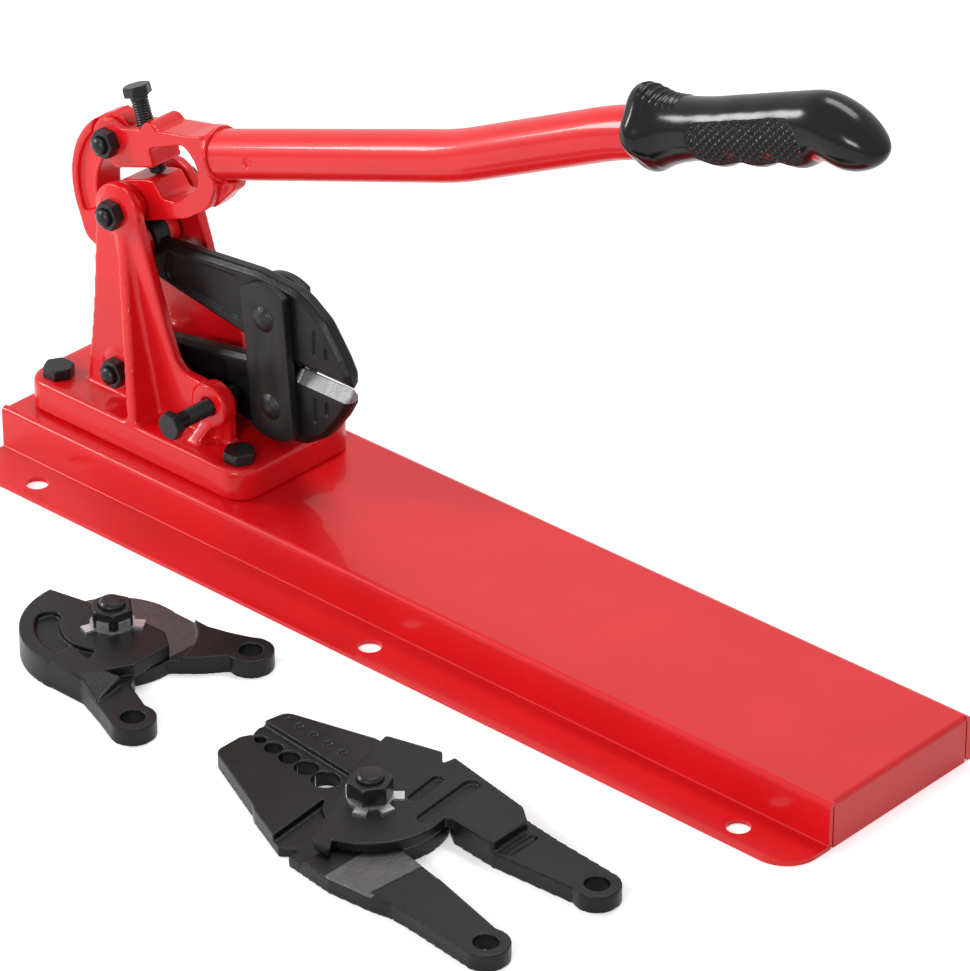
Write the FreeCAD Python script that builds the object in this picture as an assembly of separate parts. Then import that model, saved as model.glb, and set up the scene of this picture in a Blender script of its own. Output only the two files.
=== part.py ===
import FreeCAD, Part
import math
import os

Vector = FreeCAD.Vector

# Bench bolt cutter with exchangeable heads. Millimetres, +X along the base, +Z up.
# The origin is on the bench, under the middle of the base. The handle and head swing
# in the XZ plane, which is the plane of symmetry.

# Folded base channel
BASE_LENGTH = 600.0
BASE_WIDTH = 113.0
BASE_HEIGHT = 27.5
SHEET = 2.5
SHEET_BEND = 3.0
FLANGE_WIDTH = 30.0
FLANGE_CORNER = 20.0
BENCH_HOLE = 6.5
BENCH_HOLE_PITCH = 255.0
BENCH_HOLE_INSET = 16.7
END_WALL_RELIEF = 1.0

# Stand casting: foot plate and two cheeks
PLATE_LEFT = -293.0
PLATE_RIGHT = -122.0
PLATE_HALF_WIDTH = 46.0
PLATE_THICKNESS = 19.0
PLATE_CORNER = 15.0
PLATE_EDGE = 3.0
STAND_BOLT_LEFT = -278.0
STAND_BOLT_RIGHT = -136.0
STAND_BOLT_Y = 32.0
CHEEK_INNER = 18.5
CHEEK_THICKNESS = 6.5
CHEEK_TOP_RADIUS = 16.5
BOSS_RISE = 1.5
PIVOT_BOSS = 12.5
TAIL_BOSS = 12.0
INNER_BOSS = 11.0
RIB_THICKNESS = 7.0
RIB_FOOT = 19.5
CLAMP_BOSS = 13.0
CLAMP_BOSS_RISE = 4.0

# Pivot points in the XZ plane
HANDLE_PIVOT = (-234.0, 161.0)
LINK_PIVOT = (-252.0, 193.0)
UPPER_TAIL = (-236.0, 136.5)
LOWER_TAIL = (-235.0, 62.5)
UPPER_STRAP_PIVOT = (-136.5, 124.5)
LOWER_STRAP_PIVOT = (-132.3, 72.0)
CLAMP_POINT = (-163.0, 67.5)

# Handle
HANDLE_ANGLE = 18.4
HEAD_HALF = 11.0
TUBE_AXIS_RISE = 25.0
TUBE_RADIUS = 14.0
TUBE_WALL = 2.5
TUBE_START = 73.0
TUBE_BEND = 220.0
TUBE_KNEE = 254.0
TUBE_OFFSET = 13.3
TUBE_SECOND_KNEE = 370.0
TUBE_LENGTH_END = 512.0
GRIP_START = 387.0
GRIP_LENGTH = 158.5
GRIP_HALF = 16.0
FINGER_PITCH = 25.0
GUARD_RADIUS = 23.5
GUARD_THICKNESS = 6.0
HANDLE_EYE = 10.5
LINK_EYE = 13.0
LINK_EYE_OUTER = 15.0
LINK_TONGUE = 6.0
LINK_HALF = 9.5
LINK_RING_INNER = 31.0
LINK_RING_OUTER = 51.5
ADJUSTER_U = 14.0
ARM_SEAT = 13.8
ARM_LOWER = 20.6
ARM_TOP = 42.6
RIDGE_RADIUS = 7.0
COLLAR_RISE = 1.6

# Bolt cutting head
JAW_HALF = 5.5
JAW_TIP = -79.0
JAW_CHAMFER = 2.8
BLADE_LEFT = -117.0
BLADE_TILT = 0.4
TIP_GAP = 0.35
UPPER_BEVEL = 5.5
LOWER_BEVEL = 8.2
UPPER_POCKET_END = -160.0
LOWER_POCKET_END = -172.0
TAIL_EYE = 13.5
JAW_POCKET_DEPTH = 1.5
JAW_MARK_DEPTH = 1.3
STRAP_THICKNESS = 5.6
STRAP_HALF_WIDTH = 16.0
STRAP_END = 20.2
STRAP_END_SAG = 4.8
TAIL_PLAY = 2.45
PRONG_HALF = 14.5

# Fasteners: radius of thread, across flats, head height, nut height
PIVOT_BOLT = 5.0
PIVOT_FLATS = 15.0
PIVOT_HEAD = 6.0
PIVOT_NUT = 7.0
PLATE_BOLT = 5.0
PLATE_FLATS = 16.0
PLATE_HEAD = 6.4
PLATE_NUT = 8.0
SET_BOLT = 5.0
SET_FLATS = 14.0
SET_HEAD = 5.8
ADJUSTER_REACH = 59.0
CLAMP_REACH = 53.5
WASHER = 2.0
TAIL_PIN = 6.0
STRAP_PIN = 6.0
RIVET_HEAD = 7.5
RIVET_DOME = 3.2
THREAD_END = 4.5
BOLT_DOME = 0.45

# Clearances
RUNNING = 0.05
SIDE_GAP = 0.1
BOLT_HOLE_GAP = 0.5

# Loose heads: pivot places on the bench, sizes shared by both
CABLE_PIVOT = (-101.0, -164.0)
CRIMP_PIVOT = (113.0, -192.0)
CRIMP_TURN = -5.3
CABLE_NUT_TURN = 20.0
ARM_EYE = 12.5
ARM_BORE = 6.5
HEAD_PIVOT = 7.0
HEAD_FLATS = 21.0
HEAD_NUT = 10.0
LOCK_PLATE = 1.2
PIVOT_DISC = 11.0
PIVOT_DISC_DEPTH = 3.0
PIVOT_END = 3.0
SMALL_HUB = 22.0

# Cable cutting head
CABLE_LOWER = 8.3
CABLE_TOP = 16.5
CABLE_ARM = 10.5
CABLE_RIM = 49.5
CABLE_BLADE = 39.8
CABLE_FIXED_EYE = (67.0, -51.0)
CABLE_MOVING_EYE = (66.0, 37.0)

# Crimping head
CRIMP_LOWER = 8.9
CRIMP_TOP = 15.0
CRIMP_ARM = 9.6
CRIMP_RIM_TOP = 12.0
CRIMP_HUB = 41.5
CHANNEL_DEPTH = 3.6
CRIMP_SLOT_DEPTH = 2.2
CRIMP_EYE = (127.0, 37.0)
CRIMP_NESTS = ((-85.5, 3.2), (-75.0, 4.8), (-62.6, 5.6), (-49.4, 6.4), (-34.5, 7.4))

BASE_TOP = BASE_HEIGHT
WALL_Y = BASE_WIDTH / 2
PLATE_TOP = BASE_TOP + PLATE_THICKNESS
CHEEK_OUTER = CHEEK_INNER + CHEEK_THICKNESS
BOSS_FACE = CHEEK_OUTER + BOSS_RISE
BLADE_LINE = (UPPER_STRAP_PIVOT[1] + LOWER_STRAP_PIVOT[1]) / 2
STRAP_INNER = JAW_HALF + SIDE_GAP
STRAP_OUTER = STRAP_INNER + STRAP_THICKNESS


# Shape helpers

def rounded_wire(corners, place):
    """Closed wire through corners (a, b, radius); each radius becomes a tangent arc."""
    flat = [Vector(a, b, 0) for a, b, _ in corners]
    stops = []
    for index, (_, _, radius) in enumerate(corners):
        here = flat[index]
        if radius == 0:
            stops.append((here, None, here))
            continue
        back = (flat[index - 1] - here).normalize()
        ahead = (flat[(index + 1) % len(flat)] - here).normalize()
        half = back.getAngle(ahead) / 2
        reach = radius / math.tan(half)
        inward = (back + ahead).normalize()
        middle = here + inward * (radius / math.sin(half) - radius)
        stops.append((here + back * reach, middle, here + ahead * reach))
    edges = []
    for index, (start, middle, end) in enumerate(stops):
        if middle is not None:
            edges.append(Part.Arc(place(start), place(middle), place(end)).toShape())
        following = stops[(index + 1) % len(stops)][0]
        if end.distanceToPoint(following) > 0.001:
            edges.append(Part.LineSegment(place(end), place(following)).toShape())
    return Part.Wire(edges)


def upright_slab(corners, low, high):
    """Slab with its outline in XZ, from y = low to y = high."""
    wire = rounded_wire(corners, lambda p: Vector(p.x, low, p.y))
    return Part.Face(wire).extrude(Vector(0, high - low, 0))


def flat_slab(corners, low, high):
    """Slab with its outline in XY, from z = low to z = high."""
    wire = rounded_wire(corners, lambda p: Vector(p.x, p.y, low))
    return Part.Face(wire).extrude(Vector(0, 0, high - low))


def cross_rod(radius, point, low, high):
    """Cylinder across the tool through point (x, z), from y = low to y = high."""
    return Part.makeCylinder(radius, high - low, Vector(point[0], low, point[1]), Vector(0, 1, 0))


def post(radius, point, low, high):
    """Upright cylinder through point (x, y), from z = low to z = high."""
    return Part.makeCylinder(radius, high - low, Vector(point[0], point[1], low))


def box(x_low, x_high, y_low, y_high, z_low, z_high):
    return Part.makeBox(x_high - x_low, y_high - y_low, z_high - z_low, Vector(x_low, y_low, z_low))


def joined(first, *others):
    return first.multiFuse(list(others)).removeSplitter()


def both_sides(shape):
    """The shape with its mirror image across the XZ plane."""
    return [shape, shape.mirror(Vector(0, 0, 0), Vector(0, 1, 0))]


def aimed(shape, base, axis):
    """Move a shape built on +Z at the origin to base, pointing along axis."""
    turned = shape.copy()
    turned.Placement = FreeCAD.Placement(base, FreeCAD.Rotation(Vector(0, 0, 1), axis))
    return turned


def hexagon(flats, height):
    """Hexagonal prism on the origin with its two corner rings chamfered."""
    corner = flats / 2 / math.cos(math.radians(30))
    points = []
    for step in range(7):
        turn = math.radians(60 * step)
        points.append(Vector(corner * math.cos(turn), corner * math.sin(turn), 0))
    prism = Part.Face(Part.makePolygon(points)).extrude(Vector(0, 0, height))
    slope = corner - flats / 2
    cone = Part.makeCone(flats / 2 + slope * 0.4, corner + height, height + corner)
    top_cone = cone.mirror(Vector(0, 0, height / 2), Vector(0, 0, 1))
    return prism.common(top_cone)


def hex_bolt(flats, head, radius, length, base, axis):
    """Bolt whose head sits behind base and whose shank runs from base along axis."""
    cap = hexagon(flats, head).mirror(Vector(0, 0, 0), Vector(0, 0, 1))
    rise = radius * BOLT_DOME
    shank = Part.makeCylinder(radius, length - rise + head / 2, Vector(0, 0, -head / 2))
    tip = dome(radius, rise, Vector(0, 0, length - rise), Vector(0, 0, 1))
    return aimed(joined(cap, shank, tip), base, axis)


def hex_nut(flats, height, bore, base, axis):
    ring = hexagon(flats, height).cut(Part.makeCylinder(bore, height))
    return aimed(ring, base, axis)


def dome(radius, height, base, axis):
    """Spherical cap standing on base."""
    ball = (radius * radius + height * height) / (2 * height)
    cap = Part.makeSphere(ball, Vector(0, 0, height - ball))
    return aimed(cap.common(Part.makeCylinder(radius * 1.2, height)), base, axis)


def handle_frame(shape):
    """Move a shape from the handle's own axes, with the pivot at the origin, into place."""
    moved = shape.copy()
    moved.rotate(Vector(0, 0, 0), Vector(0, 1, 0), -HANDLE_ANGLE)
    moved.translate(Vector(HANDLE_PIVOT[0], 0, HANDLE_PIVOT[1]))
    return moved


def in_handle(point):
    """A point (x, z) of the tool, as (along, across) in the handle's own axes."""
    turn = math.radians(HANDLE_ANGLE)
    dx = point[0] - HANDLE_PIVOT[0]
    dz = point[1] - HANDLE_PIVOT[1]
    return (dx * math.cos(turn) + dz * math.sin(turn), dz * math.cos(turn) - dx * math.sin(turn))


# Base and stand

def base_channel():
    """Folded sheet channel with bolt-down flanges and folded end walls."""
    edge = WALL_Y + FLANGE_WIDTH
    inside = WALL_Y - SHEET
    section = [(-edge, 0, 0), (-edge, SHEET, 0), (-WALL_Y, SHEET, 1.0), (-WALL_Y, BASE_TOP, SHEET_BEND),
               (WALL_Y, BASE_TOP, SHEET_BEND), (WALL_Y, SHEET, 1.0), (edge, SHEET, 0), (edge, 0, 0),
               (inside, 0, SHEET_BEND), (inside, BASE_TOP - SHEET, 1.0),
               (-inside, BASE_TOP - SHEET, 1.0), (-inside, 0, SHEET_BEND)]
    end = BASE_LENGTH / 2
    wire = rounded_wire(section, lambda p: Vector(-end, p.x, p.y))
    channel = Part.Face(wire).extrude(Vector(BASE_LENGTH, 0, 0))
    wall_y = inside - END_WALL_RELIEF
    for side in (-1, 1):
        outer = side * end
        inner = side * (end - SHEET)
        wall = box(min(outer, inner), max(outer, inner), -wall_y, wall_y, 0, BASE_TOP - SHEET / 2)
        channel = channel.fuse(wall)
        bend_x = side * (end - SHEET_BEND)
        bend_z = BASE_TOP - SHEET_BEND
        strip = box(min(bend_x, outer), max(bend_x, outer), -wall_y, wall_y, bend_z, BASE_TOP)
        bend = Part.makeCylinder(SHEET_BEND, 2 * wall_y, Vector(bend_x, -wall_y, bend_z), Vector(0, 1, 0))
        channel = channel.cut(strip.cut(bend))
        for across in (-1, 1):
            centre = (side * (end - FLANGE_CORNER), across * (edge - FLANGE_CORNER))
            corner = box(min(centre[0], outer), max(centre[0], outer),
                         min(centre[1], across * edge), max(centre[1], across * edge), 0, SHEET)
            channel = channel.cut(corner.cut(post(FLANGE_CORNER, centre, 0, SHEET)))
    for place in (-1, 0, 1):
        for across in (-1, 1):
            spot = (place * BENCH_HOLE_PITCH, across * (WALL_Y + BENCH_HOLE_INSET))
            channel = channel.cut(post(BENCH_HOLE, spot, 0, SHEET))
    for spot in stand_bolt_places():
        channel = channel.cut(post(PLATE_BOLT + BOLT_HOLE_GAP, spot, 0, BASE_TOP))
    return channel.removeSplitter()


def stand_bolt_places():
    return [(x, side * STAND_BOLT_Y) for x in (STAND_BOLT_LEFT, STAND_BOLT_RIGHT) for side in (-1, 1)]


def foot_plate():
    corners = [(PLATE_LEFT, -PLATE_HALF_WIDTH, PLATE_CORNER), (PLATE_RIGHT, -PLATE_HALF_WIDTH, PLATE_CORNER),
               (PLATE_RIGHT, PLATE_HALF_WIDTH, PLATE_CORNER), (PLATE_LEFT, PLATE_HALF_WIDTH, PLATE_CORNER)]
    plate = flat_slab(corners, BASE_TOP, PLATE_TOP)
    top_edges = [edge for edge in plate.Edges if edge.BoundBox.ZMin > PLATE_TOP - 0.01]
    return plate.makeFillet(PLATE_EDGE, top_edges)


def cheek(low, high):
    """One upright cheek with its round top at the handle pivot and its lobe at the clamp bolt."""
    x, z = HANDLE_PIVOT
    lobe_x = CLAMP_POINT[0]
    lobe_top = CLAMP_POINT[1] + 10.5
    foot = PLATE_TOP - 1
    corners = [(x - 28, foot, 0), (x - 21, z - 61, 30), (x - CHEEK_TOP_RADIUS, z - 8, 0), (x, z, 0),
               (x + CHEEK_TOP_RADIUS, z - 2, 0), (x + 36, z - 62, 0), (x + 44, lobe_top + 1, 12),
               (lobe_x + CLAMP_BOSS - 2, lobe_top - 1, 9), (lobe_x + CLAMP_BOSS, foot, 0)]
    return upright_slab(corners, low, high).fuse(cross_rod(CHEEK_TOP_RADIUS, HANDLE_PIVOT, low, high))


def tapered_rib(top_x, top_z, top_reach, foot_x, foot_reach, thickness):
    """Rib on the near cheek's outer face, wider at its foot than at its top."""
    half = thickness / 2
    rings = []
    for x, z, reach in ((top_x, top_z, top_reach), (foot_x, PLATE_TOP - 1, foot_reach)):
        near = -(CHEEK_OUTER + reach)
        back = 1 - CHEEK_OUTER
        corners = [Vector(x - half, back, z), Vector(x + half, back, z),
                   Vector(x + half, near, z), Vector(x - half, near, z), Vector(x - half, back, z)]
        rings.append(Part.makePolygon(corners))
    return Part.makeLoft(rings, True, True)


def stand_casting():
    x, z = HANDLE_PIVOT
    near_parts = [cheek(-CHEEK_OUTER, -CHEEK_INNER),
                  cross_rod(PIVOT_BOSS, HANDLE_PIVOT, -BOSS_FACE, -CHEEK_INNER),
                  cross_rod(INNER_BOSS, HANDLE_PIVOT, -CHEEK_INNER, -HEAD_HALF - SIDE_GAP),
                  cross_rod(TAIL_BOSS, LOWER_TAIL, -BOSS_FACE, -CHEEK_INNER),
                  cross_rod(INNER_BOSS, LOWER_TAIL, -CHEEK_INNER, -JAW_HALF - SIDE_GAP),
                  cross_rod(CLAMP_BOSS, CLAMP_POINT, -CHEEK_OUTER - CLAMP_BOSS_RISE, -CHEEK_INNER),
                  tapered_rib(x + 3, z - 10, BOSS_RISE - 1, x + 26, RIB_FOOT, RIB_THICKNESS),
                  tapered_rib(CLAMP_POINT[0], CLAMP_POINT[1] - 8, CLAMP_BOSS_RISE, CLAMP_POINT[0] - 5, 14, 9)]
    pieces = []
    for shape in near_parts:
        pieces.extend(both_sides(shape))
    pad = cross_rod(CLAMP_BOSS - 2, CLAMP_POINT, JAW_HALF + SIDE_GAP, CHEEK_INNER)
    web = upright_slab([(x + 14, z - 22, 0), (x + 47, z - 52, 8), (x + 52, PLATE_TOP + 24, 10),
                        (CLAMP_POINT[0] - 4, PLATE_TOP + 20, 0), (CLAMP_POINT[0] - 4, PLATE_TOP, 0),
                        (x + 14, PLATE_TOP, 0)], CHEEK_INNER, CHEEK_OUTER)
    casting = joined(foot_plate(), pad, web, *pieces)
    for point in (HANDLE_PIVOT, LOWER_TAIL):
        casting = casting.cut(cross_rod(PIVOT_BOLT, point, -BOSS_FACE, BOSS_FACE))
    casting = casting.cut(cross_rod(SET_BOLT, CLAMP_POINT, -CHEEK_OUTER - CLAMP_BOSS_RISE, 0))
    for spot in stand_bolt_places():
        casting = casting.cut(post(PLATE_BOLT + BOLT_HOLE_GAP, spot, BASE_TOP, PLATE_TOP))
    return casting.removeSplitter()


def stand_bolts():
    length = PLATE_THICKNESS + SHEET + WASHER + PLATE_NUT + THREAD_END
    bolts = [hex_bolt(PLATE_FLATS, PLATE_HEAD, PLATE_BOLT - RUNNING, length,
                      Vector(spot[0], spot[1], PLATE_TOP), Vector(0, 0, -1)) for spot in stand_bolt_places()]
    return Part.makeCompound(bolts)


def stand_washers():
    top = BASE_TOP - SHEET
    rings = [post(PLATE_BOLT * 2, spot, top - WASHER, top).cut(post(PLATE_BOLT + RUNNING, spot, 0, top))
             for spot in stand_bolt_places()]
    return Part.makeCompound(rings)


def stand_nuts():
    top = BASE_TOP - SHEET - WASHER
    nuts = [hex_nut(PLATE_FLATS, PLATE_NUT, PLATE_BOLT, Vector(spot[0], spot[1], top), Vector(0, 0, -1))
            for spot in stand_bolt_places()]
    return Part.makeCompound(nuts)


def cross_bolt(point, face):
    """Pivot bolt with its head on the far side and its domed thread end on the near side."""
    reach = 2 * face + PIVOT_NUT + THREAD_END
    return hex_bolt(PIVOT_FLATS, PIVOT_HEAD, PIVOT_BOLT - RUNNING, reach, Vector(point[0], face, point[1]),
                    Vector(0, -1, 0))


def cross_nut(point, face):
    return hex_nut(PIVOT_FLATS, PIVOT_NUT, PIVOT_BOLT, Vector(point[0], -face, point[1]), Vector(0, -1, 0))


def clamp_bolt():
    """Side bolt that presses the lower jaw against the far cheek's pad."""
    tip = JAW_HALF + RUNNING
    return hex_bolt(SET_FLATS, SET_HEAD, SET_BOLT - RUNNING, CLAMP_REACH - tip,
                    Vector(CLAMP_POINT[0], -CLAMP_REACH, CLAMP_POINT[1]), Vector(0, 1, 0))


# Handle

def handle_head():
    """C-shaped clamp: the lower arm swings on the stand, the forked upper arm carries the link."""
    link = in_handle(LINK_PIVOT)
    outline = [(0, -HANDLE_EYE + 0.1, 0), (40, -8.4, 20), (60, -2.5, 14), (69.5, 9, 6), (69.5, 38.6, 2),
               (58, 38.8, 12), (36, 41.6, 20), (6, ARM_TOP + 0.6, 6), (link[0] + 4, link[1] + 12.2, 0),
               (link[0], link[1], 0), (link[0] - 4, ARM_LOWER, 4), (15, ARM_LOWER, 0), (15, ARM_SEAT, 0),
               (-8, ARM_SEAT, 3), (-HANDLE_EYE + 0.2, 2, 0)]
    window = [(14, ARM_SEAT, 0), (20.5, ARM_SEAT - 1, 2), (24, 3, 4), (34, 0.8, 8), (55, 8.5, 12),
              (59.5, 22, 9), (53, 33.8, 7), (23.5, 31.8, 3), (23.5, ARM_LOWER, 1), (14, ARM_LOWER, 0)]
    body = joined(upright_slab(outline, -HEAD_HALF, HEAD_HALF),
                  cross_rod(HANDLE_EYE, (0, 0), -HEAD_HALF, HEAD_HALF),
                  cross_rod(LINK_EYE, link, -HEAD_HALF, HEAD_HALF),
                  cross_rod(RIDGE_RADIUS, (27.5, ARM_TOP - 3), -HEAD_HALF, HEAD_HALF))
    body = body.cut(upright_slab(window, -HEAD_HALF, HEAD_HALF))
    slot = LINK_TONGUE + SIDE_GAP
    body = body.cut(cross_rod(LINK_EYE_OUTER + 0.4, link, -slot, slot))
    body = body.cut(box(link[0] - 20, link[0] + 4, -slot, slot, ARM_LOWER - 1, link[1]))
    body = body.cut(cross_rod(PIVOT_BOLT, link, -HEAD_HALF, HEAD_HALF))
    body = body.cut(cross_rod(PIVOT_BOLT, (0, 0), -HEAD_HALF, HEAD_HALF))
    body = body.cut(post(SET_BOLT, (ADJUSTER_U, 0), ARM_LOWER - 2, ARM_TOP + 8))
    axis_z = TUBE_AXIS_RISE
    root = Vector(69, 0, axis_z)
    collar = Part.makeCylinder(TUBE_RADIUS + COLLAR_RISE, TUBE_START - SIDE_GAP - root.x, root, Vector(1, 0, 0))
    spigot = Part.makeCylinder(TUBE_RADIUS - TUBE_WALL - SIDE_GAP, 55, root, Vector(1, 0, 0))
    rib_top = axis_z - TUBE_RADIUS - SIDE_GAP
    rib = upright_slab([(58, -4, 0), (66, rib_top, 0), (80, rib_top, 1), (77, rib_top - 5, 3)], -5, 5)
    return handle_frame(joined(body, collar, spigot, rib))


def tube_path(start, end):
    """Centre line of the cranked tube, in the handle's own axes, between two distances along it."""
    knees = [(start, TUBE_AXIS_RISE), (TUBE_KNEE, TUBE_AXIS_RISE),
             (TUBE_SECOND_KNEE, TUBE_AXIS_RISE + TUBE_OFFSET), (end, TUBE_AXIS_RISE + TUBE_OFFSET)]
    points = [Vector(along, 0, across) for along, across in knees]
    edges = []
    here = points[0]
    for index in (1, 2):
        back = (points[index - 1] - points[index]).normalize()
        ahead = (points[index + 1] - points[index]).normalize()
        half = back.getAngle(ahead) / 2
        reach = TUBE_BEND / math.tan(half)
        inward = (back + ahead).normalize()
        middle = points[index] + inward * (TUBE_BEND / math.sin(half) - TUBE_BEND)
        first = points[index] + back * reach
        last = points[index] + ahead * reach
        edges.append(Part.LineSegment(here, first).toShape())
        edges.append(Part.Arc(first, middle, last).toShape())
        here = last
    edges.append(Part.LineSegment(here, points[3]).toShape())
    return Part.Wire(edges)


def swept_rod(radius, start, end):
    ring = Part.Wire(Part.makeCircle(radius, Vector(start, 0, TUBE_AXIS_RISE), Vector(1, 0, 0)))
    return tube_path(start, end).makePipeShell([ring], True, True)


def lever_tube():
    outer = swept_rod(TUBE_RADIUS, TUBE_START, TUBE_LENGTH_END)
    inner = swept_rod(TUBE_RADIUS - TUBE_WALL, TUBE_START, TUBE_LENGTH_END)
    dimple = Part.makeSphere(5, Vector(TUBE_START + 31, -TUBE_RADIUS - 3.6, TUBE_AXIS_RISE))
    return handle_frame(outer.cut(inner).cut(dimple))


def hand_grip():
    """Moulded grip with a round guard, three finger ridges and a rounded, hooked end."""
    centre = TUBE_AXIS_RISE + TUBE_OFFSET
    start = GRIP_START
    end = GRIP_START + GRIP_LENGTH
    side = [(start, centre - 16.5, 0), (start + 16, centre - 17.5, 6), (start + 42, centre - 13.2, 14)]
    for ridge in range(3):
        side.append((start + 55 + FINGER_PITCH * ridge, centre - 18.6, 8))
        side.append((start + 55 + FINGER_PITCH * (ridge + 0.5), centre - 13.8, 8))
    side.extend([(end - 22, centre - 19, 8), (end - 4, centre - 17, 12), (end + 1, centre + 2, 14),
                 (end - 14, centre + 22.5, 16), (end - 40, centre + 21.5, 30), (start + 44, centre + 18, 20),
                 (start + 16, centre + 19, 6), (start, centre + 16.5, 0)])
    slab = upright_slab(side, -18, 18)
    section = [(-GRIP_HALF, centre - 30, 12), (GRIP_HALF, centre - 30, 12),
               (GRIP_HALF, centre + 22, 14), (-GRIP_HALF, centre + 22, 14)]
    wire = rounded_wire(section, lambda p: Vector(start, p.x, p.y))
    body = slab.common(Part.Face(wire).extrude(Vector(GRIP_LENGTH + 5, 0, 0)))
    guard = Part.makeCylinder(GUARD_RADIUS, GUARD_THICKNESS, Vector(start + 3, 0, centre), Vector(1, 0, 0))
    flare = Part.makeCone(GUARD_RADIUS, GRIP_HALF + 1, 14, Vector(start + 3 + GUARD_THICKNESS, 0, centre),
                          Vector(1, 0, 0))
    ramp = swept_rod(TUBE_RADIUS + RUNNING, TUBE_KNEE - 50, TUBE_LENGTH_END + SIDE_GAP)
    return handle_frame(joined(body, guard, flare).cut(ramp).removeSplitter())


def adjusting_bolt():
    """Bolt through the upper arm, whose tip rests on the flat of the lower arm."""
    tip = ARM_SEAT + RUNNING
    bolt = hex_bolt(SET_FLATS, SET_HEAD, SET_BOLT - RUNNING, ADJUSTER_REACH - tip,
                    Vector(ADJUSTER_U, 0, ADJUSTER_REACH), Vector(0, 0, -1))
    return handle_frame(bolt)


def pull_link():
    """C-shaped link that curls round the handle pivot, from the upper arm to the jaw's tail."""
    x, z = HANDLE_PIVOT
    outer = LINK_RING_OUTER
    inner = LINK_RING_INNER
    turns = {name: math.radians(angle) for name, angle in (("top", 112), ("middle", 160), ("end", 205))}

    def at(radius, name):
        return (x + radius * math.cos(turns[name]), z + radius * math.sin(turns[name]))

    def arc(radius, first, last):
        points = [Vector(at(radius, name)[0], 0, at(radius, name)[1]) for name in (first, "middle", last)]
        return Part.Arc(*points).toShape()

    def line(first, last):
        return Part.LineSegment(Vector(first[0], 0, first[1]), Vector(last[0], 0, last[1])).toShape()

    def ring(low, high, first_depth, last_depth):
        edges = [arc(high, "top", "end"), line(at(high, "end"), at(low, "end")),
                 arc(low, "end", "top"), line(at(low, "top"), at(high, "top"))]
        face = Part.Face(Part.Wire(edges))
        face.translate(Vector(0, first_depth, 0))
        return face.extrude(Vector(0, last_depth - first_depth, 0))

    tail_x, tail_z = UPPER_TAIL
    leg = [(*at(inner, "end"), 0), (*at(outer, "end"), 0), (x - 42, z - 35, 10), (x - 24, z - 43, 12),
           (tail_x - 2, tail_z - 12, 0), (tail_x, tail_z, 0), (tail_x - 2, tail_z + 12, 0),
           (x - 21, z - 17.5, 8)]
    body = joined(ring(inner, outer, -LINK_HALF, LINK_HALF),
                  upright_slab(leg, -LINK_HALF, LINK_HALF),
                  cross_rod(LINK_EYE_OUTER, LINK_PIVOT, -LINK_HALF, LINK_HALF),
                  cross_rod(INNER_BOSS + 1, UPPER_TAIL, -PRONG_HALF, PRONG_HALF))
    pocket = ring(inner + 3, outer - 5, LINK_HALF - 3, LINK_HALF + 1)
    body = body.cut(pocket).cut(pocket.mirror(Vector(0, 0, 0), Vector(0, 1, 0)))
    for side in (-1, 1):
        low, high = sorted((side * LINK_TONGUE, side * (LINK_HALF + 1)))
        body = body.cut(cross_rod(LINK_EYE + 2.5, LINK_PIVOT, low, high))
        reach_x, reach_z = LINK_PIVOT
        wedge = [(reach_x, reach_z, 0), (reach_x + 30, reach_z + 30, 0), (reach_x + 30, reach_z - 22, 0),
                 (reach_x + 2, reach_z - 22, 0)]
        body = body.cut(upright_slab(wedge, low, high))
    slot = JAW_HALF + 0.4
    swing = TAIL_EYE + TAIL_PLAY + 0.3
    body = body.cut(cross_rod(swing, UPPER_TAIL, -slot, slot))
    body = body.cut(box(tail_x, tail_x + 20, -slot, slot, tail_z - 16, tail_z + 16))
    body = body.cut(cross_rod(PIVOT_BOLT, LINK_PIVOT, -LINK_HALF, LINK_HALF))
    body = body.cut(cross_rod(TAIL_PIN, UPPER_TAIL, -PRONG_HALF, PRONG_HALF))
    return body.removeSplitter()


def tail_pin():
    """Headed pin through the link's prongs and the upper jaw's tail."""
    shank = cross_rod(TAIL_PIN - RUNNING, UPPER_TAIL, -PRONG_HALF - 1, PRONG_HALF + 1)
    head = cross_rod(TAIL_PIN + 2.5, UPPER_TAIL, PRONG_HALF + RUNNING, PRONG_HALF + 1.5)
    return joined(shank, *both_sides(head))


# Bolt cutting head

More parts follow.
